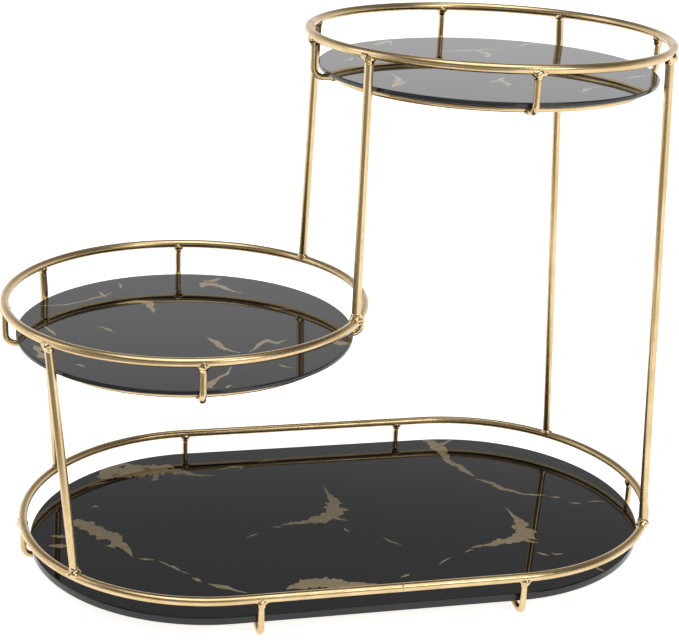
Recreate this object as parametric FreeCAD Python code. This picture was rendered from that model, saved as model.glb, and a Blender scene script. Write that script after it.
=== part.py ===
"""Three-tier cake stand: a welded gold wire frame that carries three loose glass plates.

The stand rests on z = 0 with its long side along X, and its origin is the middle of that footprint.
All sizes are millimetres and all angles are degrees, counted from +X towards +Y.
"""
import FreeCAD, Part
import os
from math import cos, radians, sin

Vector = FreeCAD.Vector
UP = Vector(0, 0, 1)
DOWN = Vector(0, 0, -1)

# Wire diameters
RAIL_WIRE = 5.0
POST_WIRE = 4.8
BRACKET_WIRE = 3.6
RING_WIRE = 3.8

# Rails, measured to the middle of the wire. The lowest rail is a stadium: two half rounds and two straights.
BASE_RAIL_RADIUS = 108.0
BASE_RAIL_STRAIGHT = 160.0
ROUND_RAIL_RADIUS = 100.0

# Places of the two round tiers, counted from the middle of the lowest rail
MIDDLE_TIER_OFFSET = -94.0
MIDDLE_TIER_RISE = 133.0
TOP_TIER_OFFSET = 73.5
TOP_TIER_RISE = 280.0

# Brackets hang under each rail and carry a support ring
BRACKET_DROP = 22.5          # rail centre to the middle of the bracket's leg
BRACKET_BEND = 5.5           # bend radius to the middle of the wire
BASE_RING_INSET = 14.0       # rail centre in to ring centre, lowest tier
ROUND_RING_INSET = 13.0      # the same on the round tiers
BASE_LEG_OVERRUN = 6.0       # how far a lowest-tier leg runs past its ring
RING_SEAT = 0.3              # how deep the lowest ring is welded into the legs under it

# Glass plates
BASE_PLATE_THICKNESS = 4.6
ROUND_PLATE_THICKNESS = 2.4
PLATE_EDGE_ROUND = 0.6
PLATE_LIFT_GAP = 0.3         # plate to the ring that it rests on
BASE_PLATE_GAP = 1.4         # plate edge to the rail's inner side, lowest tier
ROUND_PLATE_GAP = 3.0        # the same on the round tiers

# Weld beads: each is a small ball of metal round the end of a wire
POST_BEAD_RADIUS = 3.6
BRACKET_BEAD_RADIUS = 3.5
RING_BEAD_RADIUS = 2.5
BEAD_SINK = 0.9              # how far a bead's middle lies inside the wire that it sits on
RING_BEAD_LOWER = 1.0        # ring beads lie this far below the leg's middle, clear of the plate
SEAM_LENGTH = 1.6            # butt weld that closes the lowest rail
SEAM_HEIGHT = 0.35
SEAM_X = 10.0                # from the middle of the lowest rail, on its front straight

# Joints along each rail, as (distance from the tier's middle along X, angle of the outward direction)
HALF_STRAIGHT = BASE_RAIL_STRAIGHT / 2
FRONT_LEFT_FOOT_SHARE = 0.84   # of the half straight, from the middle of the rail
BACK_RIGHT_FOOT_SHARE = 0.79
BASE_POSTS = {
    "left_post_back": (-HALF_STRAIGHT, 142.0),
    "left_post_front": (-HALF_STRAIGHT, 220.0),
    "right_post_back": (HALF_STRAIGHT, 43.5),
    "right_post_front": (HALF_STRAIGHT, 326.5),
}
BASE_FEET = {
    "left_foot": (-HALF_STRAIGHT, 180.0),
    "right_foot": (HALF_STRAIGHT, 1.0),
    "front_left_foot": (-FRONT_LEFT_FOOT_SHARE * HALF_STRAIGHT, 270.0),
    "front_right_foot": (HALF_STRAIGHT, 270.0),
    "back_left_foot": (-HALF_STRAIGHT, 90.0),
    "back_right_foot": (BACK_RIGHT_FOOT_SHARE * HALF_STRAIGHT, 90.0),
}
MIDDLE_POSTS = {
    "left_post_back": (0, 140.0),
    "left_post_front": (0, 217.5),
    "riser_back": (0, 38.0),
    "riser_front": (0, 328.5),
}
MIDDLE_BRACKETS = {
    "middle_bracket_left": (0, 181.5),
    "middle_bracket_right": (0, 354.5),
    "middle_bracket_front": (0, 267.5),
    "middle_bracket_back": (0, 85.5),
}
TOP_POSTS = {
    "right_post_back": (0, 47.0),
    "right_post_front": (0, 324.5),
    "riser_back": (0, 150.0),
    "riser_front": (0, 214.5),
}
TOP_BRACKETS = {
    "top_bracket_left": (0, 182.0),
    "top_bracket_right": (0, 359.5),
    "top_bracket_front": (0, 266.0),
    "top_bracket_back": (0, 89.0),
}


class Tier:
    """One level of the stand: the rail, what hangs from it and the plate inside it."""

    def __init__(self, name, x, rail_z, radius, straight, ring_inset, plate_gap, plate_thickness):
        self.name = name
        self.x = x
        self.rail_z = rail_z
        self.radius = radius
        self.straight = straight
        self.ring_inset = ring_inset
        self.plate_gap = plate_gap
        self.plate_thickness = plate_thickness

    def spot(self, place, inset=0.0, drop=0.0):
        """A point on the rail's centre line at a joint, or inside it by inset and below it by drop."""
        along, angle = place
        reach = self.radius - inset
        x = self.x + along + reach * cos(radians(angle))
        return Vector(x, reach * sin(radians(angle)), self.rail_z - drop)


def make_tiers():
    """The three tiers, with the footprint centred on the origin and the feet on z = 0."""
    half_base = HALF_STRAIGHT + BASE_RAIL_RADIUS
    left_end = min(-half_base, MIDDLE_TIER_OFFSET - ROUND_RAIL_RADIUS)
    right_end = max(half_base, TOP_TIER_OFFSET + ROUND_RAIL_RADIUS)
    base_x = -(left_end + right_end) / 2
    base_z = BRACKET_DROP + BRACKET_WIRE / 2
    base = Tier("base", base_x, base_z, BASE_RAIL_RADIUS, BASE_RAIL_STRAIGHT,
                BASE_RING_INSET, BASE_PLATE_GAP, BASE_PLATE_THICKNESS)
    middle = Tier("middle", base_x + MIDDLE_TIER_OFFSET, base_z + MIDDLE_TIER_RISE,
                  ROUND_RAIL_RADIUS, 0.0, ROUND_RING_INSET, ROUND_PLATE_GAP, ROUND_PLATE_THICKNESS)
    top = Tier("top", base_x + TOP_TIER_OFFSET, base_z + TOP_TIER_RISE,
               ROUND_RAIL_RADIUS, 0.0, ROUND_RING_INSET, ROUND_PLATE_GAP, ROUND_PLATE_THICKNESS)
    return base, middle, top


def join(shapes):
    """One clean solid from several that touch or overlap."""
    return shapes[0].multiFuse(shapes[1:]).removeSplitter()


def round_face(centre, normal, diameter):
    """A disc, the cross-section of a wire."""
    edge = Part.makeCircle(diameter / 2, centre, normal)
    return Part.Face(Part.Wire([edge]))


def straight_wire(start, end, diameter):
    run = end - start
    return Part.makeCylinder(diameter / 2, run.Length, start, run)


def wire_loop(centre, radius, straight, diameter):
    """A closed loop of wire: a circle, or a stadium when it has a straight stretch."""
    if straight == 0:
        return Part.makeTorus(radius, diameter / 2, centre, UP)
    pieces = []
    for side in (-1, 1):
        end_middle = centre + Vector(side * straight / 2, 0, 0)
        section = round_face(end_middle + Vector(0, -side * radius, 0), Vector(1, 0, 0), diameter)
        pieces.append(section.revolve(end_middle, UP, 180))
        start = centre + Vector(-straight / 2, side * radius, 0)
        pieces.append(straight_wire(start, start + Vector(straight, 0, 0), diameter))
    return join(pieces)


def make_rail(tier):
    return wire_loop(Vector(tier.x, 0, tier.rail_z), tier.radius, tier.straight, RAIL_WIRE)


def ring_drop(tier):
    """Rail centre down to ring centre: level with the legs, or on top of them on the lowest tier."""
    if tier.name == "base":
        return BRACKET_DROP - BRACKET_WIRE / 2 - RING_WIRE / 2 + RING_SEAT
    return BRACKET_DROP


def make_ring(tier):
    centre = Vector(tier.x, 0, tier.rail_z - ring_drop(tier))
    return wire_loop(centre, tier.radius - tier.ring_inset, tier.straight, RING_WIRE)


def make_post(lower_tier, lower_place, upper_tier, upper_place, rails):
    """An upright between two rails, its ends hollowed to sit on them."""
    post = straight_wire(lower_tier.spot(lower_place), upper_tier.spot(upper_place), POST_WIRE)
    return post.cut(rails[lower_tier.name]).cut(rails[upper_tier.name])


def make_bracket(tier, place, leg_inset, rail, ring):
    """A wire that hangs from the rail and bends inwards into a leg under the plate."""
    top = tier.spot(place)
    bend_top = tier.spot(place, drop=BRACKET_DROP - BRACKET_BEND)
    bend_centre = tier.spot(place, inset=BRACKET_BEND, drop=BRACKET_DROP - BRACKET_BEND)
    leg_start = tier.spot(place, inset=BRACKET_BEND, drop=BRACKET_DROP)
    leg_end = tier.spot(place, inset=leg_inset, drop=BRACKET_DROP)
    outward = bend_top - bend_centre
    bend = round_face(bend_top, DOWN, BRACKET_WIRE).revolve(bend_centre, outward.cross(DOWN), 90)
    upright = straight_wire(bend_top, top, BRACKET_WIRE)
    leg = straight_wire(leg_start, leg_end, BRACKET_WIRE)
    return join([upright, bend, leg]).cut(rail).cut(ring)


def make_plate(tier):
    """A glass plate with softly ground edges, resting on the ring inside the rail."""
    radius = tier.radius - RAIL_WIRE / 2 - tier.plate_gap
    thickness = tier.plate_thickness
    bottom = tier.rail_z - ring_drop(tier) + RING_WIRE / 2 + PLATE_LIFT_GAP
    if tier.straight == 0:
        plate = Part.makeCylinder(radius, thickness, Vector(tier.x, 0, bottom))
    else:
        left, right = tier.x - tier.straight / 2, tier.x + tier.straight / 2
        front = Part.LineSegment(Vector(left, -radius, bottom), Vector(right, -radius, bottom))
        right_end = Part.Arc(Vector(right, -radius, bottom), Vector(right + radius, 0, bottom),
                             Vector(right, radius, bottom))
        back = Part.LineSegment(Vector(right, radius, bottom), Vector(left, radius, bottom))
        left_end = Part.Arc(Vector(left, radius, bottom), Vector(left - radius, 0, bottom),
                            Vector(left, -radius, bottom))
        outline = Part.Wire([curve.toShape() for curve in (front, right_end, back, left_end)])
        plate = Part.Face(outline).extrude(UP * thickness)
    rims = [edge for edge in plate.Edges if edge.BoundBox.ZLength < thickness / 2]
    return plate.makeFillet(PLATE_EDGE_ROUND, rims)


def bead(centre, radius, wires):
    """A weld bead: a ball less the wires that it joins."""
    ball = Part.makeSphere(radius, centre)
    for wire in wires:
        if wire.BoundBox.intersect(ball.BoundBox):
            ball = ball.cut(wire)
    return ball


def rail_beads(tier, places, radius, direction, wires):
    """Beads where wires meet a rail from below (direction -1) or from above (+1)."""
    drop = -direction * (RAIL_WIRE / 2 - BEAD_SINK)
    return [bead(tier.spot(place, drop=drop), radius, wires) for place in places]


def ring_beads(tier, places, wires):
    """Beads where the legs meet the outer side of a ring."""
    inset = tier.ring_inset - RING_WIRE / 2 + BEAD_SINK
    drop = BRACKET_DROP + RING_BEAD_LOWER
    return [bead(tier.spot(place, inset=inset, drop=drop), RING_BEAD_RADIUS, wires)
            for place in places]


def rail_seam(tier, rail):
    """The thin collar of metal at the butt weld that closes the lowest rail."""
    start = Vector(tier.x + SEAM_X - SEAM_LENGTH / 2, -tier.radius, tier.rail_z)
    end = start + Vector(SEAM_LENGTH, 0, 0)
    return straight_wire(start, end, RAIL_WIRE + 2 * SEAM_HEIGHT).cut(rail)


def build():
    """Every node of the stand, by name."""
    base, middle, top = make_tiers()
    tiers = (base, middle, top)
    nodes = {}
    rails = {}
    rings = {}
    for tier in tiers:
        rails[tier.name] = make_rail(tier)
        rings[tier.name] = make_ring(tier)
        nodes[tier.name + "_rail"] = rails[tier.name]
        nodes[tier.name + "_support_ring"] = rings[tier.name]
        nodes[tier.name + "_glass_plate"] = make_plate(tier)

    uprights = {}
    for name in ("left_post_back", "left_post_front"):
        uprights[name] = make_post(base, BASE_POSTS[name], middle, MIDDLE_POSTS[name], rails)
    for name in ("right_post_back", "right_post_front"):
        uprights[name] = make_post(base, BASE_POSTS[name], top, TOP_POSTS[name], rails)
    for name in ("riser_back", "riser_front"):
        uprights[name] = make_post(middle, MIDDLE_POSTS[name], top, TOP_POSTS[name], rails)
    nodes.update(uprights)

    brackets = {"base": {}, "middle": {}, "top": {}}
    for tier, places in ((base, BASE_FEET), (middle, MIDDLE_BRACKETS), (top, TOP_BRACKETS)):
        leg_inset = tier.ring_inset
        if tier is base:
            leg_inset += BASE_LEG_OVERRUN
        for name, place in places.items():
            brackets[tier.name][name] = make_bracket(tier, place, leg_inset, rails[tier.name],
                                                     rings[tier.name])
        nodes.update(brackets[tier.name])

    wires = {}
    for tier in tiers:
        wires[tier.name] = [rails[tier.name], rings[tier.name]]
        wires[tier.name] += list(brackets[tier.name].values())
        wires[tier.name] += list(uprights.values())

    base_beads = rail_beads(base, BASE_POSTS.values(), POST_BEAD_RADIUS, 1, wires["base"])
    base_beads += rail_beads(base, BASE_FEET.values(), BRACKET_BEAD_RADIUS, -1, wires["base"])
    base_beads.append(rail_seam(base, rails["base"]))
    nodes["base_rail_welds"] = Part.makeCompound(base_beads)

    left_posts = [MIDDLE_POSTS["left_post_back"], MIDDLE_POSTS["left_post_front"]]
    risers = [MIDDLE_POSTS["riser_back"], MIDDLE_POSTS["riser_front"]]
    middle_beads = rail_beads(middle, left_posts, POST_BEAD_RADIUS, -1, wires["middle"])
    middle_beads += rail_beads(middle, risers, POST_BEAD_RADIUS, 1, wires["middle"])
    middle_beads += rail_beads(middle, MIDDLE_BRACKETS.values(), BRACKET_BEAD_RADIUS, -1,
                               wires["middle"])
    nodes["middle_rail_welds"] = Part.makeCompound(middle_beads)

    top_beads = rail_beads(top, TOP_POSTS.values(), POST_BEAD_RADIUS, -1, wires["top"])
    top_beads += rail_beads(top, TOP_BRACKETS.values(), BRACKET_BEAD_RADIUS, -1, wires["top"])
    nodes["top_rail_welds"] = Part.makeCompound(top_beads)

    nodes["middle_ring_welds"] = Part.makeCompound(
        ring_beads(middle, MIDDLE_BRACKETS.values(), wires["middle"]))
    nodes["top_ring_welds"] = Part.makeCompound(
        ring_beads(top, TOP_BRACKETS.values(), wires["top"]))
    return nodes


def main():
    os.makedirs("parts", exist_ok=True)
    for name, shape in build().items():
        shape.exportStep("parts/" + name + ".step")


main()
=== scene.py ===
"""Looks of the tiered cake stand: gold welded wire, weld beads and black glass with gold veins.

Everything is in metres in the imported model's frame: the stand's long side runs along X and its feet
stand on z = 0. Sizes named below are millimetres, and angles are degrees, unless a comment says
otherwise.
"""
import random
from math import ceil, cos, pi, radians, sin

import bmesh
import bpy
from mathutils import Matrix, Vector, noise
from mathutils.geometry import delaunay_2d_cdt


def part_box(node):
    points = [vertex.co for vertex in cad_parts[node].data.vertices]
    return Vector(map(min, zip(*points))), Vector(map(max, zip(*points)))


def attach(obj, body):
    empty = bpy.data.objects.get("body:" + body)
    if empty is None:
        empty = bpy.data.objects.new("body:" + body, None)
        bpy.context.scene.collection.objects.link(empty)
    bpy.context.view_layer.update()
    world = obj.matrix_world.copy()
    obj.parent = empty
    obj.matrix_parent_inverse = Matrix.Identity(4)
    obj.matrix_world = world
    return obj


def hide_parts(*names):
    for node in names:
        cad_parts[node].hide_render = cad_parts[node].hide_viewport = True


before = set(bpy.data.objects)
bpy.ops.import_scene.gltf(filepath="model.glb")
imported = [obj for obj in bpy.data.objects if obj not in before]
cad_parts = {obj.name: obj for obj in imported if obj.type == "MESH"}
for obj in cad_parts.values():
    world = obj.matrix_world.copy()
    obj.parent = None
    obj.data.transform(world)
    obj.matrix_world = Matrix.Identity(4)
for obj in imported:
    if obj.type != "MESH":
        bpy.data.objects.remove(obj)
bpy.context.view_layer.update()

MM = 0.001

# Camera
CAMERA_PLACE = (-0.19866, -0.81641, 0.44449)    # metres
CAMERA_AZIMUTH = -13.53
CAMERA_ELEVATION = 19.95
CAMERA_ROLL = 2.40
CAMERA_LENS = 82.03

# Studio
FLOOR_HALF_SIZE = 14.0          # metres
FLOOR_DROP = 0.00015            # metres below the feet
WALL_RADIUS = 13.0              # metres
WALL_HEIGHT = 9.0               # metres
WALL_STEPS = 48
OVERHEAD_SIDE = (-20, 74)       # azimuth and elevation of the glow overhead
OVERHEAD_GLOW = 2.45            # its radiance
OVERHEAD_INNER = 14.0           # from its middle to where it begins to fade
OVERHEAD_OUTER = 33.0           # from its middle to where it has gone
SKY = ((0.20, 1.04), (0.34, 0.80), (0.47, 0.39), (0.62, 0.22))   # (height of the direction, brightness)
SKY_HORIZON = 1.0
SKY_TOP = 0.2
SKY_BLUE = 1.01                 # blue over red and green between the horizon and the top
SKY_FRONT = (-0.5, 0.3)         # (Y of the direction, share of the brightness) on the camera's side
SKY_BACK = (0.2, 0.92)          # the same behind the stand
LAMPS = {                       # power in watts, size and distance in metres, azimuth, elevation
    "key": (5.0, 0.6, 1.7, 24, 30),
    "fill": (3.0, 0.8, 1.9, -100, 30),
}
LAMP_LIFT = 0.15                # metres over z = 0 at which the lamps aim
CARD_GREY = (0.36, 0.35, 0.34, 1)
CARD_NEAR = 0.34                # metres from the stand's middle
CARD_FAR = 3.2                  # metres
CARD_START = -85.0              # from the front, towards the right
CARD_END = 4.0
CARD_STEPS = 24
CARD_LIFT = 0.0005              # metres over z = 0
CARD_SHADE = 0.8                # its darker patches

# Joints along each rail, as (distance from the rail's middle along X, outward angle)
BASE_HALF_STRAIGHT = 80.0
FRONT_LEFT_FOOT_SHARE = 0.84
BACK_RIGHT_FOOT_SHARE = 0.79
BASE_POSTS = {
    "left_post_back": (-BASE_HALF_STRAIGHT, 142.0),
    "left_post_front": (-BASE_HALF_STRAIGHT, 220.0),
    "right_post_back": (BASE_HALF_STRAIGHT, 43.5),
    "right_post_front": (BASE_HALF_STRAIGHT, 326.5),
}
BASE_FEET = [
    (-BASE_HALF_STRAIGHT, 180.0),
    (BASE_HALF_STRAIGHT, 1.0),
    (-FRONT_LEFT_FOOT_SHARE * BASE_HALF_STRAIGHT, 270.0),
    (BASE_HALF_STRAIGHT, 270.0),
    (-BASE_HALF_STRAIGHT, 90.0),
    (BACK_RIGHT_FOOT_SHARE * BASE_HALF_STRAIGHT, 90.0),
]
MIDDLE_POSTS = {"left_post_back": (0, 140.0), "left_post_front": (0, 217.5)}
MIDDLE_RISERS = {"riser_back": (0, 38.0), "riser_front": (0, 328.5)}
MIDDLE_BRACKETS = [(0, 181.5), (0, 354.5), (0, 267.5), (0, 85.5)]
TOP_POSTS = {
    "right_post_back": (0, 47.0),
    "right_post_front": (0, 324.5),
    "riser_back": (0, 150.0),
    "riser_front": (0, 214.5),
}
TOP_BRACKETS = [(0, 182.0), (0, 359.5), (0, 266.0), (0, 89.0)]
SEAM_PLACE = 10.0               # butt weld, from the middle of the front straight

# Wires and welds
RAIL_WIRE = 5.0
RING_WIRE = 3.8
RING_INSET = 13.0               # rail's middle in to the ring's middle, on the two upper tiers
RAIL_STREAKS = (2600.0, 2600.0, 45.0)       # how fine the streaks are: across, across and along
UPRIGHT_STREAKS = (2400.0, 2400.0, 50.0)
ARC_REACH = 0.1                 # metres: about a rail's radius, to turn angles into lengths
POST_WELD = 3.8                 # radius of a weld, before it is made uneven
BACK_POST_WELD = 3.2
BRACKET_WELD = 3.4
RING_WELD = 2.1
WELD_SINK = 0.7                 # how far a weld's middle lies inside the rail's skin
TACK_SINK = 0.5
TACK_LIFT = 0.3
SEAM_SINK = 0.22
SEAM_BLOBS = 14
RING_WELD_SINK = 0.4            # how far a weld's middle lies inside the ring's outer side
RING_WELD_LOWER = 1.2           # below the middle of the ring
LUMP_UNEVEN = 0.13              # share of a lump's size
WELD_VOXEL = 0.3
SMOOTH_ROUNDS = 6
WELD_SEED = 41
INNER_REACH = 3.5               # furthest that weld metal reaches in from a rail's middle

# Glass plates
EDGE_ROUND = 0.6
ARC_STEPS = 150                 # segments round each half circle
FACE, VEIN, EDGE = 0, 1, 2      # material slots of a plate
THICK_EDGE_SHADE = 0.25         # the lowest plate's edge is darker than the thin ones'
THIN_EDGE_SHADE = 1.0

# Torn edges of the veins, as noise of a fineness per millimetre
VEIN_STEP = 1.3                 # most between the points along a vein
VEIN_LEAST = 0.08               # least half width
DRIFT_FINENESS = 0.11
TEAR_FINENESS = 0.30
TEAR_SHARE = 0.6                # of the half width
FRAY_FINENESS = 0.9
FRAY_SHARE = 0.3
SPIKE_FINENESS = 0.5
SPIKE_START = 0.33              # noise level above which a torn edge grows a spike
SPIKE_LENGTH = 4.0
SEED_STEP = 3.1                 # from one vein to the next
HOLE_SEED = 70


# ---------------------------------------------------------------- shader helpers

class Shader:
    """A material's node tree, with short calls to add and join nodes."""

    def __init__(self, name):
        self.material = bpy.data.materials.new(name)
        self.material.use_nodes = True
        self.tree = self.material.node_tree
        self.tree.nodes.clear()
        self.output = self.tree.nodes.new("ShaderNodeOutputMaterial")
        self.surface = self.tree.nodes.new("ShaderNodeBsdfPrincipled")
        self.tree.links.new(self.surface.outputs["BSDF"], self.output.inputs["Surface"])

    def fixed(self, **values):
        """Constant settings of the surface, by socket name with _ for a space."""
        for name, value in values.items():
            self.surface.inputs[name.replace("_", " ")].default_value = value

    def feed(self, name, socket):
        self.tree.links.new(socket, self.surface.inputs[name])

    def put(self, target, value):
        """Joins a socket to an input, or sets the input's own value."""
        if isinstance(value, bpy.types.NodeSocket):
            self.tree.links.new(value, target)
        else:
            target.default_value = value

    def place(self):
        return self.tree.nodes.new("ShaderNodeTexCoord").outputs["Object"]

    def math(self, kind, *values):
        node = self.tree.nodes.new("ShaderNodeMath")
        node.operation = kind
        for target, value in zip(node.inputs, values):
            self.put(target, value)
        return node.outputs[0]

    def split(self, vector):
        node = self.tree.nodes.new("ShaderNodeSeparateXYZ")
        self.put(node.inputs[0], vector)
        return node.outputs

    def vector(self, x, y, z):
        node = self.tree.nodes.new("ShaderNodeCombineXYZ")
        for target, value in zip(node.inputs, (x, y, z)):
            self.put(target, value)
        return node.outputs[0]

    def stretch(self, vector, scale):
        node = self.tree.nodes.new("ShaderNodeVectorMath")
        node.operation = "MULTIPLY"
        self.put(node.inputs[0], vector)
        node.inputs[1].default_value = scale
        return node.outputs[0]

    def noise(self, vector, scale, detail=3.0, rough=0.5):
        node = self.tree.nodes.new("ShaderNodeTexNoise")
        self.put(node.inputs["Vector"], vector)
        node.inputs["Scale"].default_value = scale
        node.inputs["Detail"].default_value = detail
        node.inputs["Roughness"].default_value = rough
        return node.outputs["Fac"]

    def span(self, value, low, high, to_low=0.0, to_high=1.0):
        """Maps low..high to to_low..to_high, and stops at both ends."""
        node = self.tree.nodes.new("ShaderNodeMapRange")
        self.put(node.inputs["Value"], value)
        limits = (low, high, to_low, to_high)
        for target, limit in zip(("From Min", "From Max", "To Min", "To Max"), limits):
            node.inputs[target].default_value = limit
        return node.outputs["Result"]

    def mix(self, share, first, second):
        node = self.tree.nodes.new("ShaderNodeMix")
        node.data_type = "RGBA"
        self.put(node.inputs[0], share)
        self.put(node.inputs[6], first)
        self.put(node.inputs[7], second)
        return node.outputs[2]

    def bump(self, height, strength, distance):
        node = self.tree.nodes.new("ShaderNodeBump")
        node.inputs["Strength"].default_value = strength
        node.inputs["Distance"].default_value = distance
        self.put(node.inputs["Height"], height)
        return node.outputs["Normal"]

    def pointiness(self):
        return self.tree.nodes.new("ShaderNodeNewGeometry").outputs["Pointiness"]


def straight_half(low, high):
    """Half the straight stretch of a stadium that just fills a box, which is 0 for a circle."""
    return max(0.0, (high.x - low.x - high.y + low.y) / 2)


def along_wire(shader, centre, half_straight):
    """Place on a rail as (distance from the rail's middle, height, distance along the rail)."""
    x, y, z = shader.split(shader.place())
    across = shader.math("SUBTRACT", x, centre.x)
    core = shader.math("MAXIMUM", shader.math("MINIMUM", across, half_straight), -half_straight)
    out = shader.math("SUBTRACT", across, core)
    reach = shader.math("SQRT", shader.math("ADD", shader.math("MULTIPLY", out, out),
                                            shader.math("MULTIPLY", y, y)))
    turn = shader.math("ARCTAN2", y, out)
    run = shader.math("ADD", shader.math("MULTIPLY", turn, ARC_REACH), core)
    return shader.vector(reach, z, run)


# ---------------------------------------------------------------- materials

GOLD_PALE = (0.69, 0.525, 0.295, 1)
GOLD_WARM = (0.59, 0.42, 0.20, 1)
# dark gold, for the dull specks on the wires and for the painted shade in the welds' creases
GOLD_SPECKS_AND_SHADE = (0.32, 0.21, 0.09, 1)


def finish_gold(shader, streak_place, streak_scale):
    """Satin champagne gold: streaks along the wire, cloudy tone and small dull specks."""
    place = shader.place()
    streaks = shader.noise(shader.stretch(streak_place, streak_scale), 1.0, 5.0, 0.6)
    clouds = shader.noise(place, 55.0, 3.0)
    specks = shader.noise(place, 900.0, 2.0, 0.6)
    tone = shader.mix(shader.span(clouds, 0.35, 0.68), GOLD_PALE, GOLD_WARM)
    tone = shader.mix(shader.span(streaks, 0.52, 0.8, 0.0, 0.22), tone, GOLD_WARM)
    tone = shader.mix(shader.span(specks, 0.68, 0.8, 0.0, 0.6), tone, GOLD_SPECKS_AND_SHADE)
    shader.feed("Base Color", tone)
    gloss = shader.math("ADD", shader.span(streaks, 0.3, 0.7, 0.20, 0.28),
                        shader.span(clouds, 0.4, 0.7, 0.0, 0.06))
    shader.feed("Roughness", gloss)
    height = shader.math("ADD", streaks, shader.math("MULTIPLY", specks, 0.5))
    shader.feed("Normal", shader.bump(height, 0.10, 0.00006))
    shader.fixed(Metallic=1.0, Coat_Weight=0.15, Coat_Roughness=0.08)


def rail_gold(name, node):
    """Gold for a rail or a ring, with its streaks running round the loop."""
    low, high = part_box(node)
    shader = Shader(name)
    line = along_wire(shader, (low + high) / 2, straight_half(low, high))
    finish_gold(shader, line, RAIL_STREAKS)
    return shader.material


def upright_gold(name):
    """Gold for posts, risers, brackets and feet, with its streaks running up and down."""
    shader = Shader(name)
    finish_gold(shader, shader.place(), UPRIGHT_STREAKS)
    return shader.material


def weld_gold():
    """Gold over rough weld metal: rippled, with painted shade that darkens it in its creases."""
    shader = Shader("gold_weld_metal")
    place = shader.place()
    ripples = shader.noise(place, 420.0, 2.0)
    clouds = shader.noise(place, 160.0, 2.0)
    tone = shader.mix(shader.span(clouds, 0.35, 0.65), GOLD_PALE, GOLD_WARM)
    # painted shade: more of the dark gold where the surface is hollow, so the weld's creases look shaded
    tone = shader.mix(shader.span(shader.pointiness(), 0.38, 0.48, 0.6, 0.0), tone, GOLD_SPECKS_AND_SHADE)
    shader.feed("Base Color", tone)
    shader.feed("Roughness", shader.span(ripples, 0.35, 0.65, 0.10, 0.2))
    shader.feed("Normal", shader.bump(ripples, 0.2, 0.0002))
    shader.fixed(Metallic=1.0, Coat_Weight=0.25, Coat_Roughness=0.1)
    return shader.material


def black_glass():
    """Deep black tempered glass: nearly perfect polish with faint wipe marks and dust."""
    shader = Shader("black_glass")
    place = shader.place()
    wipes = shader.noise(shader.stretch(place, (9.0, 32.0, 9.0)), 1.0, 4.0, 0.6)
    dust = shader.noise(place, 2600.0, 1.0)
    tone = shader.mix(shader.span(dust, 0.74, 0.82, 0.0, 0.35), (0.004, 0.004, 0.005, 1),
                      (0.10, 0.10, 0.10, 1))
    shader.feed("Base Color", tone)
    shader.feed("Roughness", shader.span(wipes, 0.4, 0.75, 0.008, 0.04))
    shader.fixed(IOR=1.5)
    return shader.material


def glass_edge(name, shade):
    """The ground rim of the glass: satin, slate grey times shade, with fine grinding marks round it."""
    shader = Shader(name)
    place = shader.place()
    marks = shader.noise(shader.stretch(place, (60.0, 60.0, 5200.0)), 1.0, 3.0)
    dark, pale = [tuple(shade * part for part in tone) + (1,)
                  for tone in ((0.004, 0.005, 0.006), (0.018, 0.021, 0.025))]
    tone = shader.mix(marks, dark, pale)
    shader.feed("Base Color", tone)
    shader.feed("Roughness", shader.span(marks, 0.3, 0.7, 0.05, 0.16))
    shader.feed("Normal", shader.bump(marks, 0.15, 0.00005))
    shader.fixed(IOR=1.5)
    return shader.material


def vein_foil():
    """Gold-brown foil under the glass: mottled, matt by itself and glossy from the glass over it."""
    shader = Shader("vein_foil")
    place = shader.place()
    mottle = shader.noise(place, 420.0, 4.0, 0.65)
    patches = shader.noise(place, 90.0, 3.0)
    tone = shader.mix(shader.span(mottle, 0.35, 0.7), (0.36, 0.28, 0.155, 1),
                      (0.26, 0.20, 0.105, 1))
    tone = shader.mix(shader.span(patches, 0.5, 0.75, 0.0, 0.5), tone, (0.42, 0.34, 0.20, 1))
    shader.feed("Base Color", tone)
    shader.feed("Roughness", shader.span(mottle, 0.3, 0.7, 0.01, 0.05))
    shader.fixed(IOR=1.5)
    return shader.material


def floor_white():
    """Plain white that glows evenly as well as being lit from above."""
    shader = Shader("studio_floor")
    grain = shader.noise(shader.place(), 30.0, 4.0)
    shader.feed("Base Color", shader.mix(grain, (0.80, 0.80, 0.80, 1), (0.84, 0.84, 0.84, 1)))
    shader.fixed(Roughness=0.9, Specular_IOR_Level=0.0, Emission_Color=(1, 1, 1, 1),
                 Emission_Strength=0.80)
    return shader.material


# ---------------------------------------------------------------- studio

def side_of(azimuth, elevation):
    """The direction from the stand towards a viewer or a lamp: azimuth 0 is the front."""
    around, rise = radians(azimuth), radians(elevation)
    return Vector((sin(around) * cos(rise), -cos(around) * cos(rise), sin(rise)))


def aim(place, azimuth, elevation, roll):
    """A matrix that stands at place and looks towards the object from that side."""
    back = side_of(azimuth, elevation)
    right = (-back).cross(Vector((0, 0, 1))).normalized()
    up = right.cross(-back)
    tilt = radians(roll)
    x_axis = cos(tilt) * right + sin(tilt) * up
    y_axis = -sin(tilt) * right + cos(tilt) * up
    turn = Matrix((x_axis, y_axis, back)).transposed().to_4x4()
    return Matrix.Translation(place) @ turn


def add_camera():
    data = bpy.data.cameras.new("camera")
    data.lens = CAMERA_LENS
    data.sensor_width = 36.0
    data.sensor_fit = "HORIZONTAL"
    data.clip_start = 0.01
    data.clip_end = 200.0
    camera = bpy.data.objects.new("camera", data)
    bpy.context.scene.collection.objects.link(camera)
    camera.matrix_world = aim(CAMERA_PLACE, CAMERA_AZIMUTH, CAMERA_ELEVATION, CAMERA_ROLL)
    bpy.context.scene.camera = camera


def add_stage(name, shape, material, height=0.0):
    """A piece of the studio, which is not part of the stand."""
    mesh = bpy.data.meshes.new(name)
    shape.to_mesh(mesh)
    shape.free()
    mesh.materials.append(material)
    prop = bpy.data.objects.new(name, mesh)
    prop.location.z = height
    bpy.context.scene.collection.objects.link(prop)
    return prop


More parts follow.
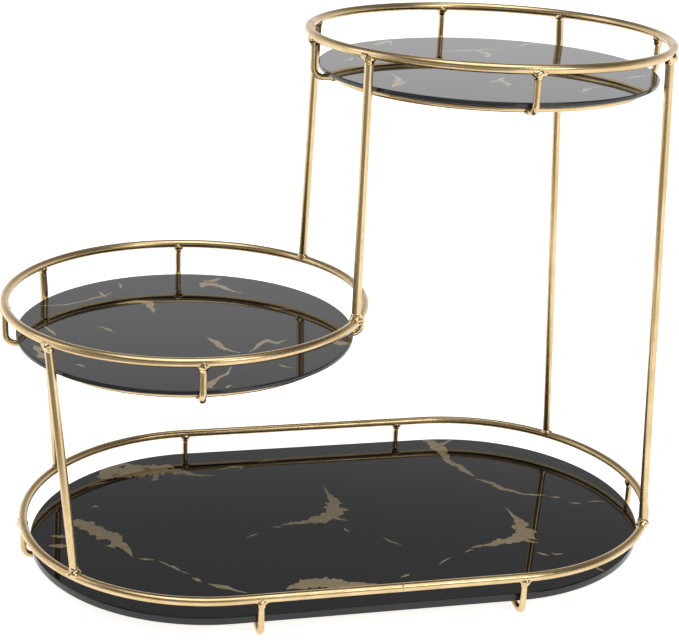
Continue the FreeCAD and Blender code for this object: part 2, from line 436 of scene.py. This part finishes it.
def strip(first_row, second_row):
    """A new shape with faces between two rows of points."""
    shape = bmesh.new()
    first = [shape.verts.new(point) for point in first_row]
    second = [shape.verts.new(point) for point in second_row]
    for step in range(len(first) - 1):
        shape.faces.new((first[step], second[step], second[step + 1], first[step + 1]))
    return shape


def add_floor():
    """A wide sheet at the feet."""
    shape = bmesh.new()
    bmesh.ops.create_grid(shape, x_segments=8, y_segments=8, size=FLOOR_HALF_SIZE)
    add_stage("floor", shape, floor_white(), -FLOOR_DROP)


def add_backdrop():
    """A white wall round the floor, seen by the camera alone, so that no horizon shows."""
    shader = Shader("studio_wall")
    grain = shader.noise(shader.place(), 2.0, 2.0)
    shader.feed("Emission Color", shader.mix(grain, (1, 1, 1, 1), (0.985, 0.985, 0.985, 1)))
    shader.fixed(Base_Color=(0, 0, 0, 1), Specular_IOR_Level=0.0, Emission_Strength=1.02)
    turns = [2 * pi * step / WALL_STEPS for step in range(WALL_STEPS + 1)]
    foot, head = [[(WALL_RADIUS * cos(turn), WALL_RADIUS * sin(turn), height) for turn in turns]
                  for height in (-FLOOR_DROP, WALL_HEIGHT)]
    wall = add_stage("backdrop", strip(foot, head), shader.material)
    wall.visible_diffuse = False
    wall.visible_glossy = False
    wall.visible_transmission = False
    wall.visible_shadow = False


def add_grey_card():
    """A grey card low in front, seen only in reflections: it puts the darker band into the wires."""
    shader = Shader("grey_card")
    grain = shader.noise(shader.place(), 4.0, 2.0)
    darker = tuple(CARD_SHADE * part for part in CARD_GREY)
    shader.feed("Emission Color", shader.mix(grain, CARD_GREY, darker))
    shader.fixed(Base_Color=(0, 0, 0, 1), Specular_IOR_Level=0.0, Emission_Strength=1.0)
    turns = [radians(CARD_START + (CARD_END - CARD_START) * step / CARD_STEPS)
             for step in range(CARD_STEPS + 1)]
    near, far = [[(reach * sin(turn), -reach * cos(turn), 0.0) for turn in turns]
                 for reach in (CARD_NEAR, CARD_FAR)]
    card = add_stage("grey_card", strip(near, far), shader.material, CARD_LIFT)
    card.visible_camera = False
    card.visible_diffuse = False
    card.visible_shadow = False


def add_lights():
    """A soft key at the right front and a weak fill at the left."""
    for name, (power, size, distance, azimuth, elevation) in LAMPS.items():
        data = bpy.data.lights.new(name, "AREA")
        data.energy = power
        data.size = size
        lamp = bpy.data.objects.new(name, data)
        place = side_of(azimuth, elevation) * distance + Vector((0, 0, LAMP_LIFT))
        lamp.matrix_world = aim(place, azimuth, elevation, 0)
        bpy.context.scene.collection.objects.link(lamp)


def soft_step(tree, value, low, high, to_low, to_high):
    """A node that eases a value from to_low to to_high as it goes from low to high."""
    step = tree.nodes.new("ShaderNodeMapRange")
    step.interpolation_type = "SMOOTHSTEP"
    for name, limit in (("From Min", low), ("From Max", high), ("To Min", to_low), ("To Max", to_high)):
        step.inputs[name].default_value = limit
    tree.links.new(value, step.inputs["Value"])
    return step.outputs["Result"]


def add_world():
    """Bright near the horizon, falling off upwards, dimmer on the camera's side, with a soft overhead."""
    world = bpy.data.worlds.new("studio")
    world.use_nodes = True
    tree = world.node_tree
    background = tree.nodes["Background"]
    direction = tree.nodes.new("ShaderNodeTexCoord").outputs["Generated"]
    split = tree.nodes.new("ShaderNodeSeparateXYZ")
    tree.links.new(direction, split.inputs[0])
    ramp = tree.nodes.new("ShaderNodeValToRGB")
    steps = ramp.color_ramp
    steps.interpolation = "EASE"
    for place, level in SKY:
        stop = steps.elements.new(place)
        stop.color = (level, level, level * SKY_BLUE, 1)
    steps.elements[0].color = (SKY_HORIZON, SKY_HORIZON, SKY_HORIZON, 1)
    steps.elements[-1].color = (SKY_TOP, SKY_TOP, SKY_TOP, 1)
    tree.links.new(split.outputs[2], ramp.inputs[0])
    side = soft_step(tree, split.outputs[1], SKY_FRONT[0], SKY_BACK[0], SKY_FRONT[1], SKY_BACK[1])
    sweep = tree.nodes.new("ShaderNodeVectorMath")
    sweep.operation = "SCALE"
    tree.links.new(ramp.outputs[0], sweep.inputs[0])
    tree.links.new(side, sweep.inputs["Scale"])
    nearness = tree.nodes.new("ShaderNodeVectorMath")
    nearness.operation = "DOT_PRODUCT"
    tree.links.new(direction, nearness.inputs[0])
    nearness.inputs[1].default_value = side_of(*OVERHEAD_SIDE)
    glow = soft_step(tree, nearness.outputs["Value"], cos(radians(OVERHEAD_OUTER)),
                     cos(radians(OVERHEAD_INNER)), 0.0, OVERHEAD_GLOW)
    total = tree.nodes.new("ShaderNodeVectorMath")
    tree.links.new(sweep.outputs[0], total.inputs[0])
    tree.links.new(glow, total.inputs[1])
    tree.links.new(total.outputs[0], background.inputs["Color"])
    bpy.context.scene.world = world


# ---------------------------------------------------------------- places

class Loop:
    """A rail's middle line, read from its node: a circle, or a stadium with a straight stretch."""

    def __init__(self, node):
        low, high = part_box(node)
        self.centre = (low + high) / 2
        self.half_straight = straight_half(low, high)
        self.radius = (high.y - low.y) / 2 - RAIL_WIRE * MM / 2

    def spot(self, place, inset=0.0, drop=0.0):
        """The point at a joint, moved inwards by inset and down by drop."""
        along, angle = place
        reach = self.radius - inset * MM
        x = self.centre.x + along * MM + reach * cos(radians(angle))
        return Vector((x, reach * sin(radians(angle)), self.centre.z - drop * MM))


def new_piece(name, mesh, body):
    """A piece of the stand that moves with a body."""
    piece = bpy.data.objects.new(name, mesh)
    bpy.context.scene.collection.objects.link(piece)
    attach(piece, body)
    return piece


# ---------------------------------------------------------------- welds

def add_lump(shape, centre, size, turn, seed):
    """One blob of weld metal: an uneven ball, size as three half lengths in millimetres."""
    made = bmesh.ops.create_icosphere(shape, subdivisions=3, radius=1.0)["verts"]
    for vertex in made:
        swell = 1 + LUMP_UNEVEN * noise.noise(vertex.co * 1.7 + Vector((seed, 2 * seed, 3 * seed)))
        local = Vector([c * s * swell * MM for c, s in zip(vertex.co, size)])
        vertex.co = centre + turn @ local


def facing(outward, up):
    """A turn whose X runs along the rail, Y outwards and Z along the wire that is welded on."""
    z_axis = up.normalized()
    x_axis = outward.cross(z_axis).normalized()
    y_axis = z_axis.cross(x_axis)
    return Matrix((x_axis, y_axis, z_axis)).transposed()


def add_joint_weld(shape, centre, outward, wire_run, radius, rng):
    """The weld at a wire's end: a saddle on the rail, a toe on each side and a run-off on the wire.

    wire_run points from the rail along the wire that is welded to it.
    """
    turn = facing(outward, wire_run)
    seed = rng.uniform(0, 50)
    add_lump(shape, centre, (radius * 1.06, radius * 0.98, radius * 0.80), turn, seed)
    for side in (-1, 1):
        toe = Vector((side * radius * rng.uniform(0.62, 0.82), radius * rng.uniform(-0.25, 0.45),
                      -radius * rng.uniform(0.02, 0.22)))
        size = [radius * rng.uniform(0.40, 0.52) for _ in range(3)]
        add_lump(shape, centre + turn @ (toe * MM), size, turn, seed + 5 * side)
    outer = Vector((radius * rng.uniform(-0.3, 0.3), radius * 0.62, radius * rng.uniform(-0.05, 0.25)))
    add_lump(shape, centre + turn @ (outer * MM), [radius * 0.48] * 3, turn, seed + 11)
    run_off = Vector((0, 0, radius * 0.62))
    size = (radius * 0.74, radius * 0.74, radius * rng.uniform(0.62, 0.8))
    add_lump(shape, centre + turn @ (run_off * MM), size, turn, seed + 17)


def add_tack(shape, centre, outward, radius, rng):
    """A small pip of weld metal that stands out of the rail's outer side above a bracket."""
    turn = facing(outward, Vector((0, 0, 1)))
    add_lump(shape, centre, (radius * 1.1, radius * 0.8, radius * 0.7), turn, rng.uniform(0, 50))


def add_seam(shape, centre, rng):
    """The butt weld round the wire of the lowest rail: a ring of small overlapping blobs."""
    reach = RAIL_WIRE / 2 - SEAM_SINK
    for index in range(SEAM_BLOBS):
        angle = 2 * pi * index / SEAM_BLOBS
        offset = Vector((rng.uniform(-0.22, 0.22), reach * cos(angle), reach * sin(angle)))
        size = (rng.uniform(0.55, 0.9), rng.uniform(0.5, 0.62), rng.uniform(0.5, 0.62))
        turn = Matrix.Rotation(angle, 3, "X")
        add_lump(shape, centre + offset * MM, size, turn, index * 3.7)


def keep_clear(shape, loop):
    """Moves weld metal that is too far in from the rail back out of the lifted plate's way."""
    least = loop.radius - INNER_REACH * MM
    for vertex in shape.verts:
        across = vertex.co.x - loop.centre.x
        core = max(-loop.half_straight, min(loop.half_straight, across))
        out = Vector((across - core, vertex.co.y))
        if out.length < least:
            out = out.normalized() * least
            vertex.co.x = loop.centre.x + core + out.x
            vertex.co.y = out.y


def weld_piece(name, shape, node, material):
    """Fuses the lumps of one rail's or ring's welds into smooth metal and puts it in the node's place."""
    mesh = bpy.data.meshes.new(name)
    shape.to_mesh(mesh)
    shape.free()
    piece = new_piece(name, mesh, "frame")
    fuse = piece.modifiers.new("fuse", "REMESH")
    fuse.mode = "VOXEL"
    fuse.voxel_size = WELD_VOXEL * MM
    fuse.use_smooth_shade = True
    soften = piece.modifiers.new("soften", "SMOOTH")
    soften.factor = 0.5
    soften.iterations = SMOOTH_ROUNDS
    bpy.context.view_layer.update()
    solid = bpy.data.meshes.new_from_object(piece.evaluated_get(bpy.context.evaluated_depsgraph_get()))
    piece.modifiers.clear()
    piece.data = solid
    solid.name = name
    solid.materials.clear()
    solid.materials.append(material)
    for face in solid.polygons:
        face.use_smooth = True
    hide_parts(node)


def add_post_welds(shape, loop, joints, far_ends, rng):
    """Welds where posts and risers meet a rail, smaller on the ones at the back."""
    for name, place in joints.items():
        spot = loop.spot(place)
        outward = (spot - loop.spot(place, inset=10)).normalized()
        run = (far_ends[name] - spot).normalized()
        centre = spot + run * (RAIL_WIRE / 2 - WELD_SINK) * MM
        radius = BACK_POST_WELD if name.endswith("back") else POST_WELD
        add_joint_weld(shape, centre, outward, run, radius, rng)


def add_bracket_welds(shape, loop, joints, rng):
    """Welds where brackets or feet hang from a rail, each with a pip on the rail's outer side."""
    for place in joints:
        spot = loop.spot(place)
        outward = (spot - loop.spot(place, inset=10)).normalized()
        centre = loop.spot(place, drop=RAIL_WIRE / 2 - WELD_SINK)
        add_joint_weld(shape, centre, outward, Vector((0, 0, -1)), BRACKET_WELD, rng)
        tack = spot + outward * (RAIL_WIRE / 2 - TACK_SINK) * MM + Vector((0, 0, TACK_LIFT * MM))
        add_tack(shape, tack, outward, rng.uniform(0.9, 1.3), rng)


def add_ring_welds(name, node, loop, joints, ring_node, material, rng):
    """Small welds on the outer side of a support ring, one at each leg."""
    shape = bmesh.new()
    low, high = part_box(ring_node)
    ring_z = (low.z + high.z) / 2
    inset = RING_INSET - RING_WIRE / 2 + RING_WELD_SINK
    for place in joints:
        spot = loop.spot(place, inset=inset)
        outward = (loop.spot(place) - spot).normalized()
        centre = Vector((spot.x, spot.y, ring_z - RING_WELD_LOWER * MM))
        turn = facing(outward, Vector((0, 0, 1)))
        seed = rng.uniform(0, 50)
        add_lump(shape, centre, (RING_WELD * 1.15, RING_WELD * 0.9, RING_WELD * 0.75), turn, seed)
        for side in (-1, 1):
            toe = Vector((side * 1.5, rng.uniform(-0.3, 0.5), rng.uniform(-0.5, 0.1)))
            add_lump(shape, centre + turn @ (toe * MM), (1.3, 1.1, 1.0), turn, seed + side)
    weld_piece(name, shape, node, material)


def add_welds(loops, material):
    """All weld metal: one piece for each rail and each of the two upper support rings."""
    rng = random.Random(WELD_SEED)
    base, middle, top = loops["base"], loops["middle"], loops["top"]
    upper_ends = {name: middle.spot(place) for name, place in MIDDLE_POSTS.items()}
    upper_ends.update({name: top.spot(place) for name, place in TOP_POSTS.items()})
    lower_ends = {name: base.spot(place) for name, place in BASE_POSTS.items()}
    lower_ends.update({name: middle.spot(place) for name, place in MIDDLE_RISERS.items()})

    shape = bmesh.new()
    add_post_welds(shape, base, BASE_POSTS, upper_ends, rng)
    add_bracket_welds(shape, base, BASE_FEET, rng)
    add_seam(shape, base.spot((SEAM_PLACE, 270.0)), rng)
    keep_clear(shape, base)
    weld_piece("base_rail_weld_metal", shape, "base_rail_welds", material)

    shape = bmesh.new()
    add_post_welds(shape, middle, MIDDLE_POSTS, lower_ends, rng)
    add_post_welds(shape, middle, MIDDLE_RISERS, upper_ends, rng)
    add_bracket_welds(shape, middle, MIDDLE_BRACKETS, rng)
    keep_clear(shape, middle)
    weld_piece("middle_rail_weld_metal", shape, "middle_rail_welds", material)

    shape = bmesh.new()
    add_post_welds(shape, top, TOP_POSTS, lower_ends, rng)
    add_bracket_welds(shape, top, TOP_BRACKETS, rng)
    keep_clear(shape, top)
    weld_piece("top_rail_weld_metal", shape, "top_rail_welds", material)

    add_ring_welds("middle_ring_weld_metal", "middle_ring_welds", middle, MIDDLE_BRACKETS,
                   "middle_support_ring", material, rng)
    add_ring_welds("top_ring_weld_metal", "top_ring_welds", top, TOP_BRACKETS,
                   "top_support_ring", material, rng)


# ---------------------------------------------------------------- veins
# A vein is a line of (x, y, width), with x and y from the plate's middle. Its outline is torn by noise.

# The same star-shaped vein comes twice on the lowest plate
STAR = [
    [(-1, 43, 0.3), (0, 33, 1.6), (2, 22, 6), (-2, 8, 11), (-9, 0, 9), (-20, -2, 4.5), (-30, -3, 2.6),
     (-38, -5, 0.3)],
    [(-3, 12, 7), (5, 10, 4.5), (8, 8, 0.5)],
    [(-6, 2, 6), (-1, -2, 2.4), (4, -5, 0.3)],
]
STAR_SHIFT = (106, -44)

BASE_VEINS = [
    [(-138, 74, 5), (-131, 80, 15), (-118, 82, 16), (-106, 81, 15), (-95, 81, 11), (-86, 76, 5),
     (-77, 70, 2.4), (-65, 69, 0.4)],
    [(-130, 88, 3), (-122, 93, 3.5), (-112, 88, 1)],
    [(-104, 76, 4), (-104, 68, 3), (-107, 66, 0.3)],
    [(-146, 62, 0.4), (-140, 66, 2), (-134, 69, 0.5)],
    [(-163, 12, 5), (-156, 18, 10), (-149, 10, 10), (-141, 0, 11), (-136, -8, 8), (-132, -18, 5),
     (-128, -30, 0.4)],
    [(-136, -16, 4), (-142, -14, 0.4)],
    [(-125, -33, 0.3), (-121, -35, 2), (-116, -36, 0.4)],
    [(-114, -37, 0.3), (-107, -45, 1.8), (-99, -55, 0.4)],
    [(-98, -59, 0.4), (-95, -62, 2.2), (-93, -64, 0.3)],
    [(-90, -67, 0.4), (-83, -71, 4.5), (-78, -75, 2.2), (-70, -80, 0.4)],
    [(-48, -79, 1), (-38, -75, 9), (-26, -76, 11), (-14, -79, 8), (-2, -82, 5), (12, -86, 1)],
    [(-63, 76, 0.3), (-54, 79, 2.2), (-47, 78, 1.6), (-50, 75, 0.3)],
    [(-36, 84, 0.3), (-30, 85, 1), (-24, 84, 0.3)],
    [(-43, -6, 0.3), (-40, -6, 1.6), (-37, -7, 0.3)],
    [(-60, -18, 0.3), (-56, -15, 1.4), (-52, -13, 0.3)],
    [(-147, 35, 0.4), (-144, 36, 2), (-142, 34, 0.4)],
    [(-172, 2, 1), (-166, 1, 3), (-160, -2, 0.5)],
    [(-174, -10, 1), (-168, -12, 4), (-161, -11, 0.5)],
    [(0, -13, 0.3), (1, -16, 1.6), (2, -19, 0.3)],
    [(80, 108, 2), (86, 99, 6), (88, 88, 9), (89, 74, 5), (91, 63, 4), (95, 54, 5), (99, 44, 0.8)],
    [(88, 92, 5), (96, 97, 2.4), (105, 104, 0.4)],
    [(99, 40, 0.5), (106, 34, 3), (112, 23, 4), (120, 17, 2.2), (129, 12, 2.4), (136, 11, 0.4)],
    [(138, 9, 0.3), (142, 7, 1.6), (145, 6, 0.3)],
    [(147, -1, 0.3), (151, -3, 1.8), (155, -3, 0.3)],
    [(160, -2, 0.3), (165, -2, 1.4), (170, -3, 0.3)],
    [(63, -54, 0.3), (66, -52, 1.4), (69, -51, 0.3)],
    [(44, -65, 0.3), (47, -62, 1.3), (53, -58, 0.3)],
    [(20, -28, 0.3), (23, -35, 1.3), (28, -40, 0.3)],
    [(105, -60, 0.3), (108, -62, 2.4), (111, -65, 0.3)],
    [(113, -62, 0.3), (116, -64, 1.8), (120, -64, 0.3)],
    [(130, -77, 0.3), (134, -84, 1.8), (139, -91, 0.3)],
    [(18, -76, 0.3), (21, -75, 2), (24, -74, 0.3)],
]
BASE_VEINS += STAR
BASE_VEINS += [[(x + STAR_SHIFT[0], y + STAR_SHIFT[1], width) for x, y, width in vein] for vein in STAR]
BASE_HOLES = [
    [(-131, 77, 0.5), (-128, 77.5, 3), (-125, 78, 0.5)],
    [(-111, 84, 0.5), (-108, 84, 4), (-105, 83, 0.5)],
    [(-95, 82, 0.5), (-93, 82, 3), (-91, 81.5, 0.5)],
]

MIDDLE_VEINS = [
    [(-79, 45, 0.5), (-65, 44, 1.4), (-52, 51, 1.2), (-45, 56, 2), (-36, 63, 0.4)],
    [(-31, 80, 0.3), (-30, 76, 1.6), (-30, 70, 0.3)],
    [(-44, 66, 0.3), (-42, 60, 2.4), (-40, 55, 0.4)],
    [(18, 67, 1), (21, 74, 6), (27, 72, 5), (33, 63, 3), (41, 53, 0.4)],
    [(21, 79, 2), (26, 79, 4), (33, 84, 0.5)],
    [(-36, 43, 1), (-25, 46, 4), (-17, 43, 5), (-15, 33, 3), (-15, 25, 0.4)],
    [(9, -18, 0.4), (13, -27, 3.6), (15, -36, 3.4), (24, -44, 0.5)],
    [(29, -43, 0.4), (36, -34, 3), (41, -26, 2.6), (46, -33, 2.8), (53, -27, 0.4)],
    [(-5, -93, 1), (0, -88, 6), (6, -80, 2.4), (12, -73, 1.8), (16, -63, 0.3)],
    [(8, -92, 0.4), (10, -90, 2.6), (12, -88, 0.4)],
    [(41, -63, 0.3), (43, -66, 1.4), (48, -69, 0.3)],
    [(-85, -20, 1), (-81, -27, 9), (-80, -37, 5), (-75, -44, 0.6)],
    [(76, -30, 0.6), (82, -36, 6), (87, -38, 2)],
    [(-79, 10, 0.3), (-75, 2, 2.2), (-73, -6, 0.3)],
    [(-65, -50, 0.3), (-62, -52, 1.6), (-60, -54, 0.3)],
    [(-50, 6, 0.3), (-44, 1, 1.4), (-40, -5, 0.3)],
    [(50, 30, 0.3), (56, 24, 1.8), (64, 22, 0.4)],
]
MIDDLE_HOLES = [[(-82, -28, 0.5), (-81, -30, 2.4), (-80, -32, 0.5)]]

TOP_VEINS = [
    [(-50, 68, 0.5), (-41, 75, 5), (-36, 82, 3), (-38, 64, 0.5)],
    [(-14, 46, 0.4), (-4, 49, 2.4), (8, 51, 4), (18, 54, 2), (26, 56, 0.4)],
    [(8, 51, 3), (13, 38, 4), (7, 27, 0.5)],
    [(-60, -18, 0.5), (-60, -32, 3), (-63, -45, 5), (-70, -54, 0.5)],
    [(-63, -45, 4), (-56, -38, 0.5)],
    [(-13, -43, 0.5), (-6, -37, 3.4), (0, -29, 0.6)],
    [(-6, -37, 3), (-4, -46, 3), (-6, -53, 0.4)],
    [(38, 62, 0.5), (47, 70, 3), (56, 74, 1), (57, 64, 0.4)],
    [(68, -34, 0.5), (75, -30, 3.4), (83, -27, 0.6)],
    [(60, 5, 0.4), (66, 0, 2.4), (70, -8, 0.4)],
    [(28, -70, 0.4), (34, -62, 3), (42, -58, 0.5)],
    [(-80, 15, 0.4), (-74, 22, 2.4), (-70, 30, 0.4)],
]


def roughness(x, y, fineness, seed):
    """Smooth noise from -1 to 1 at a place on a plate."""
    return noise.noise(Vector((x * fineness, y * fineness, seed)))


def vein_outline(line, seed):
    """The torn outline of a vein, as points counted round it."""
    middle = []
    for (x0, y0, w0), (x1, y1, w1) in zip(line, line[1:]):
        length = ((x1 - x0) ** 2 + (y1 - y0) ** 2) ** 0.5
        steps = max(2, ceil(length / VEIN_STEP))
        for step in range(steps):
            share = step / steps
            middle.append((x0 + (x1 - x0) * share, y0 + (y1 - y0) * share, w0 + (w1 - w0) * share))
    middle.append(line[-1])
    left, right = [], []
    for index, (x, y, width) in enumerate(middle):
        before = middle[max(0, index - 2)]
        after = middle[min(len(middle) - 1, index + 2)]
        along = Vector((after[0] - before[0], after[1] - before[1])).normalized()
        side = Vector((-along.y, along.x))
        drift = side * roughness(x, y, DRIFT_FINENESS, seed) * (0.8 + 0.22 * width)
        for edge, sign in ((left, 1), (right, -1)):
            torn = 1 + TEAR_SHARE * roughness(x, y, TEAR_FINENESS, seed + 9 * sign)
            torn += FRAY_SHARE * roughness(x, y, FRAY_FINENESS, seed + 5 * sign)
            spike = roughness(x, y, SPIKE_FINENESS, seed + 31 * sign)
            torn += SPIKE_LENGTH * max(0.0, spike - SPIKE_START) / (1 + 0.2 * width)
            edge.append(Vector((x, y)) + drift + side * sign * max(VEIN_LEAST, width / 2 * torn))
    return left + right[::-1]


# ---------------------------------------------------------------- plates

def plate_outline(radius, half_straight):
    """Points round a circle or a stadium, anticlockwise from the front of its right end."""
    points = []
    for side, start in ((1, -90), (-1, 90)):
        steps = ARC_STEPS if half_straight else ARC_STEPS - 1
        for step in range(steps + 1):
            angle = radians(start + 180 * step / ARC_STEPS)
            points.append(Vector((side * half_straight + radius * cos(angle), radius * sin(angle))))
    return points


class Patch:
    """A closed outline that can say which points it winds round, even where it crosses itself."""

    def __init__(self, outline):
        self.outline = outline
        self.low = Vector((min(p.x for p in outline), min(p.y for p in outline)))
        self.high = Vector((max(p.x for p in outline), max(p.y for p in outline)))

    def covers(self, point):
        if not (self.low.x < point.x < self.high.x and self.low.y < point.y < self.high.y):
            return False
        turns = 0
        for start, end in zip(self.outline, self.outline[1:] + self.outline[:1]):
            side = (end.x - start.x) * (point.y - start.y) - (end.y - start.y) * (point.x - start.x)
            if start.y <= point.y < end.y and side > 0:
                turns += 1
            elif end.y <= point.y < start.y and side < 0:
                turns -= 1
        return turns != 0


def edge_profile(thickness):
    """The plate's edge as (inset, depth) from the rim of its top face to the rim of its underside."""
    corner = [(EDGE_ROUND * (1 - sin(radians(a))), EDGE_ROUND * (1 - cos(radians(a))))
              for a in (22.5, 45, 67.5, 90)]
    lower = [(inset, thickness - depth) for inset, depth in reversed(corner)]
    return corner + lower + [(EDGE_ROUND, thickness)]


def add_top_face(shape, outline, veins, holes):
    """The flat top of a plate, cut along its veins, with the veins' own material inside them."""
    rim_patch = Patch(outline)
    vein_patches = [Patch(vein_outline(line, SEED_STEP * number)) for number, line in enumerate(veins)]
    hole_patches = [Patch(vein_outline(line, HOLE_SEED + SEED_STEP * number))
                    for number, line in enumerate(holes)]
    points, rings = [], []
    for patch in [rim_patch] + vein_patches + hole_patches:
        rings.append(list(range(len(points), len(points) + len(patch.outline))))
        points += patch.outline
    flat, _, faces, _, _, _ = delaunay_2d_cdt(points, [], rings, 0, 1e-4)
    corners = [shape.verts.new((p.x, p.y, 0)) for p in flat]
    for loop in faces:
        middle = sum((flat[i] for i in loop), Vector((0, 0))) / len(loop)
        if not rim_patch.covers(middle):
            continue
        face = shape.faces.new([corners[i] for i in loop])
        in_vein = any(patch.covers(middle) for patch in vein_patches)
        in_hole = any(patch.covers(middle) for patch in hole_patches)
        face.material_index = VEIN if in_vein and not in_hole else FACE
    for vertex in [v for v in shape.verts if not v.link_faces]:
        shape.verts.remove(vertex)


def add_edge_and_underside(shape, radius, half_straight, thickness):
    """The plate's rounded edge, drawn down from the rim of its top face, and its flat underside."""
    rim = [e for e in shape.edges if e.is_boundary]
    for inset, depth in edge_profile(thickness):
        made = bmesh.ops.extrude_edge_only(shape, edges=rim)["geom"]
        rim = [g for g in made if isinstance(g, bmesh.types.BMEdge)]
        for vertex in [g for g in made if isinstance(g, bmesh.types.BMVert)]:
            core = Vector((max(-half_straight, min(half_straight, vertex.co.x)), 0, 0))
            out = Vector((vertex.co.x - core.x, vertex.co.y, 0)).normalized()
            vertex.co = core + out * (radius - inset) + Vector((0, 0, -depth))
        for face in [g for g in made if isinstance(g, bmesh.types.BMFace)]:
            face.smooth = True
            face.material_index = EDGE
    last = set(rim)
    rim = [e for e in shape.edges if e in last and e.is_boundary]
    bmesh.ops.edgenet_fill(shape, edges=rim, mat_nr=FACE, use_smooth=False)


def make_plate(tier, node, veins, holes, materials):
    """A glass plate with rounded edges, its veins cut into the top face as inlays."""
    low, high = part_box(node)
    centre = (low + high) / 2
    half_straight = straight_half(low, high) / MM
    radius = (high.y - low.y) / 2 / MM
    shape = bmesh.new()
    add_top_face(shape, plate_outline(radius - EDGE_ROUND, half_straight), veins, holes)
    add_edge_and_underside(shape, radius, half_straight, (high.z - low.z) / MM)
    bmesh.ops.recalc_face_normals(shape, faces=shape.faces[:])
    shape.transform(Matrix.Translation((centre.x, centre.y, high.z)) @ Matrix.Scale(MM, 4))
    name = tier + "_marble_plate"
    mesh = bpy.data.meshes.new(name)
    shape.to_mesh(mesh)
    shape.free()
    for material in materials:
        mesh.materials.append(material)
    piece = new_piece(name, mesh, tier + "_plate")
    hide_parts(node)


# ---------------------------------------------------------------- the stand

def dress_wires():
    """Gives every wire of the frame its gold."""
    upright = upright_gold("upright_gold")
    for name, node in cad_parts.items():
        if name.endswith(("_plate", "_welds")):
            continue
        if name.endswith(("_rail", "_support_ring")):
            material = rail_gold(name + "_gold", name)
        else:
            material = upright
        for place in node.material_slots:
            place.material = material


def main():
    bpy.context.scene.view_settings.view_transform = "Standard"
    add_camera()
    add_floor()
    add_backdrop()
    add_grey_card()
    add_lights()
    add_world()
    dress_wires()
    loops = {tier: Loop(tier + "_rail") for tier in ("base", "middle", "top")}
    add_welds(loops, weld_gold())
    face, foil = black_glass(), vein_foil()
    thick_glass = [face, foil, glass_edge("thick_glass_edge", THICK_EDGE_SHADE)]
    thin_glass = [face, foil, glass_edge("thin_glass_edge", THIN_EDGE_SHADE)]
    make_plate("base", "base_glass_plate", BASE_VEINS, BASE_HOLES, thick_glass)
    make_plate("middle", "middle_glass_plate", MIDDLE_VEINS, MIDDLE_HOLES, thin_glass)
    make_plate("top", "top_glass_plate", TOP_VEINS, [], thin_glass)


main()
